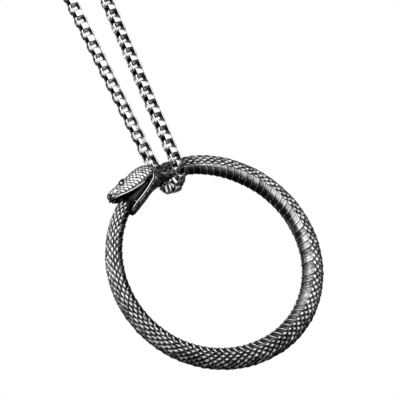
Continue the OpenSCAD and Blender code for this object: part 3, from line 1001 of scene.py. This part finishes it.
neckFoot = foot(chain["neckLinks"])
pegFoot = foot(chain["pegLinks"])
neckBend = bendRadius(chain["neckLinks"])
neckShift = bendShift(math.pi / chain["neckLinks"])
pegBend = bendRadius(chain["pegLinks"])
pegShift = bendShift(math.pi / chain["pegLinks"])
pegZ = -(pegBend + pegShift - chain["linkWidth"] / 2)
neckTurn = math.radians(chain["neckTurn"])
strandLength = neckFoot[1] + linkPitch * (chain["backLinks"] - 1) + pegFoot[1]
acrossX = neckFoot[0] * math.sin(neckTurn)
acrossY = neckFoot[0] * math.cos(neckTurn)
strandX = pegFoot[0] + chain["neckBendX"] - acrossX
neckZ = pegZ - math.sqrt(strandLength**2 - strandX**2 - acrossY**2)
neckFront = Vector((chain["neckBendX"] + acrossX, -acrossY, neckZ))
neckBack = Vector((chain["neckBendX"] - acrossX, acrossY, neckZ))
pegFront = Vector((pegFoot[0], 0, pegZ))
pegBack = Vector((-pegFoot[0], 0, pegZ))


def linkPlaces():
    places = []
    for k in range(chain["frontLinks"]):
        turn = max(0, chain["neckTurn"] - (k + 1) * chain["linkTurn"],
                   chain["frontTurn"] - max(0, k + 1 - chain["turnedLinks"]) * chain["linkTurn"])
        places.append(onLine(neckFront, pegFront, neckFoot[1] + k * linkPitch, turn)
                      @ crossed(chain["frontLinks"] - 1 - k))
    middle = Matrix.Translation((chain["neckBendX"], 0, neckZ)) @ turned(chain["neckTurn"], "Z")
    for k in range(chain["neckLinks"]):
        reach = neckBend + (neckShift if k % 2 == 0 else -neckShift)
        places.append(middle @ turned((k + 0.5) * 180 / chain["neckLinks"], "X")
                      @ Matrix.Translation((0, -reach, 0)) @ crossed(chain["frontLinks"] + k))
    for k in range(chain["backLinks"]):
        turn = max(0, chain["neckTurn"] - max(0, k - 1) * chain["linkTurn"])
        places.append(onLine(neckBack, pegBack, neckFoot[1] + k * linkPitch, turn)
                      @ crossed(chain["frontLinks"] + chain["neckLinks"] + k))
    for k in range(chain["pegLinks"]):
        reach = pegBend + (pegShift if k % 2 == 0 else -pegShift)
        places.append(Matrix.Translation((0, 0, pegZ)) @ turned((k + 0.5) * 180 / chain["pegLinks"], "Y")
                      @ Matrix.Translation((-reach, 0, 0))
                      @ crossed(chain["frontLinks"] + chain["neckLinks"] + chain["backLinks"] + k))
    return places


def addLinkShape(cornerRadius=0.58, sideExtra=0.14, edge=0.08, bow=0.03, steps=3):
    # One link: a slightly bowed strip bent to a rounded square, with soft long edges
    a = chain["linkWidth"] / 2 - cornerRadius
    b = chain["linkLength"] / 2 - cornerRadius
    t = chain["stripThickness"]
    w = chain["shownWidth"] / 2
    # Half of the strip's section: how far outside the corner radius, and how far across the strip
    half = [(0.01 - bow, w - edge - 0.06), (-bow, w - edge), (-bow - edge, w), (edge - t, w), (-t, w - edge)]
    section = [(0, 0)] + half + [(r, -y) for r, y in half[::-1]]
    # Polish of the section's points; the 0 on the strip's inner face is painted shade inside the link, not a
    # duller finish
    polishAndPaintedLight = [1.0, 1.0, 0.9, 0.8, 0.0]
    points = []
    for cx, cz, start in ((a, b, 0), (-a, b, 90), (-a, -b, 180), (a, -b, 270)):
        for i in range(steps):
            angle = math.radians(start + 90 * i / (steps - 1))
            for r, y in section:
                reach = cornerRadius + r
                inward = sideExtra if r < -edge - bow else 0  # the sides are thicker than the ends
                points.append((cx + (reach - inward) * math.cos(angle), y, cz + reach * math.sin(angle)))
    return pointOutwards(addMesh("link", np.array(points) * mm, closedFaces(4 * steps, len(section)),
                                 wear=([1.0] + polishAndPaintedLight + polishAndPaintedLight[::-1]) * 4 * steps))


def linkTree():
    tree, given = newTree("linksOnPoints", {
        "Geometry": "Geometry", "Link": "Object", "Seed": "Int", "Material": "Material"})
    link = addNode(tree, "GeometryNodeObjectInfo", {"Object": given["Link"]}).outputs["Geometry"]
    toned = addStored(tree, given["Geometry"], "tone", addRandom(tree, 0.0, given["Seed"]))
    links = addNode(tree, "GeometryNodeInstanceOnPoints",
                    {"Points": toned, "Instance": link, "Rotation": addNamed(tree, "turn", "QUATERNION")})
    real = addNode(tree, "GeometryNodeRealizeInstances", {"Geometry": links.outputs[0]}).outputs[0]
    return finishTree(tree, real, given["Material"])


places = linkPlaces()
spots = bpy.data.meshes.new("link_places")
spots.from_pydata([tuple(place.translation * mm) for place in places], [], [])
turns = spots.attributes.new("turn", "QUATERNION", "POINT")
turns.data.foreach_set("value", [c for place in places for c in place.to_quaternion()])
linkShape = addLinkShape()
links = runTree(addObject("links", spots), linkTree(), "chain_links",
                {"Link": linkShape, "Seed": 4, "Material": polishedSteel})
removeHelper(linkShape)
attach(links, "chain")
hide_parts("box_chain")
for node in ("lobster_clasp", "clasp_ring", "end_ring"):
    wearAll(bpy.data.objects[node].data)
    for slot in bpy.data.objects[node].material_slots:
        slot.material = polishedSteel
print("chain ready")


# Camera, light and room

scene = bpy.context.scene
toCamera = Vector(view["toCamera"]).normalized()
right = Vector(view["right"])
right = (right - toCamera * right.dot(toCamera)).normalized()
up = toCamera.cross(right)
middle = Vector((0, 0, snake["ringZ"])) * mm
offX = (photo["width"] / 2 - photo["ringX"]) / view["pixelsPerMm"]
offY = (photo["ringY"] - photo["width"] / 2) / view["pixelsPerMm"]
seat = middle + (toCamera * view["distance"] + right * offX + up * offY) * mm
lens = bpy.data.cameras.new("camera")
lens.sensor_width = view["sensor"]
lens.lens = view["distance"] * view["sensor"] * view["pixelsPerMm"] / photo["width"]
lens.clip_start, lens.clip_end = view["clip"]
camera = addObject("camera", lens)
frameAxes = Matrix((right, up, toCamera)).transposed().to_4x4()
camera.matrix_world = Matrix.Translation(seat) @ frameAxes
scene.camera = camera
scene.view_settings.view_transform = "Standard"


def addRoom():
    # White behind the piece, as in the photograph; its reflections see a dark room with soft lamps
    world = bpy.data.worlds.new("room")
    world.use_nodes = True
    tree = world.node_tree
    tree.nodes.clear()
    way = addNode(tree, "ShaderNodeTexCoord").outputs["Generated"]
    light = studio["roomLight"]
    for lampWay, core, reach, strength in studio["lamps"]:
        towards = addNode(tree, "ShaderNodeVectorMath", {0: way, 1: tuple(Vector(lampWay).normalized())},
                          operation="DOT_PRODUCT")
        glow = addNode(tree, "ShaderNodeMapRange",
                       {"Value": towards.outputs["Value"], "From Min": math.cos(math.radians(reach)),
                        "From Max": math.cos(math.radians(core)), "To Min": 0.0, "To Max": strength},
                       interpolation_type="SMOOTHSTEP")
        light = addMath(tree, "ADD", glow.outputs[0], light)
    room = addNode(tree, "ShaderNodeBackground", {"Color": (1, 1, 1, 1), "Strength": light})
    white = addNode(tree, "ShaderNodeBackground", {"Color": linear(studio["backdrop"]), "Strength": 1.0})
    seen = addNode(tree, "ShaderNodeLightPath").outputs["Is Camera Ray"]
    both = addNode(tree, "ShaderNodeMixShader", {0: seen, 1: room.outputs[0], 2: white.outputs[0]})
    addNode(tree, "ShaderNodeOutputWorld", {"Surface": both.outputs[0]})
    scene.world = world


addRoom()


def addFloor():
    size = studio["floorRadius"] * mm
    z = -studio["floorDrop"] * mm
    mesh = bpy.data.meshes.new("floor")
    corners = [(-size, -size, z), (size, -size, z), (size, size, z), (-size, size, z)]
    mesh.from_pydata(corners, [], [(0, 1, 2, 3)])
    # Matt white paper, so that the floor shows no reflection of the piece
    material = bpy.data.materials.new("paperFloor")
    material.use_nodes = True
    shader = material.node_tree.nodes["Principled BSDF"]
    shader.inputs["Base Color"].default_value = linear(studio["floor"])
    shader.inputs["Roughness"].default_value = studio["floorRoughness"]
    mesh.materials.append(material)
    floor = addObject("floor", mesh)
    floor.visible_glossy = False


addFloor()

print("scene ready")
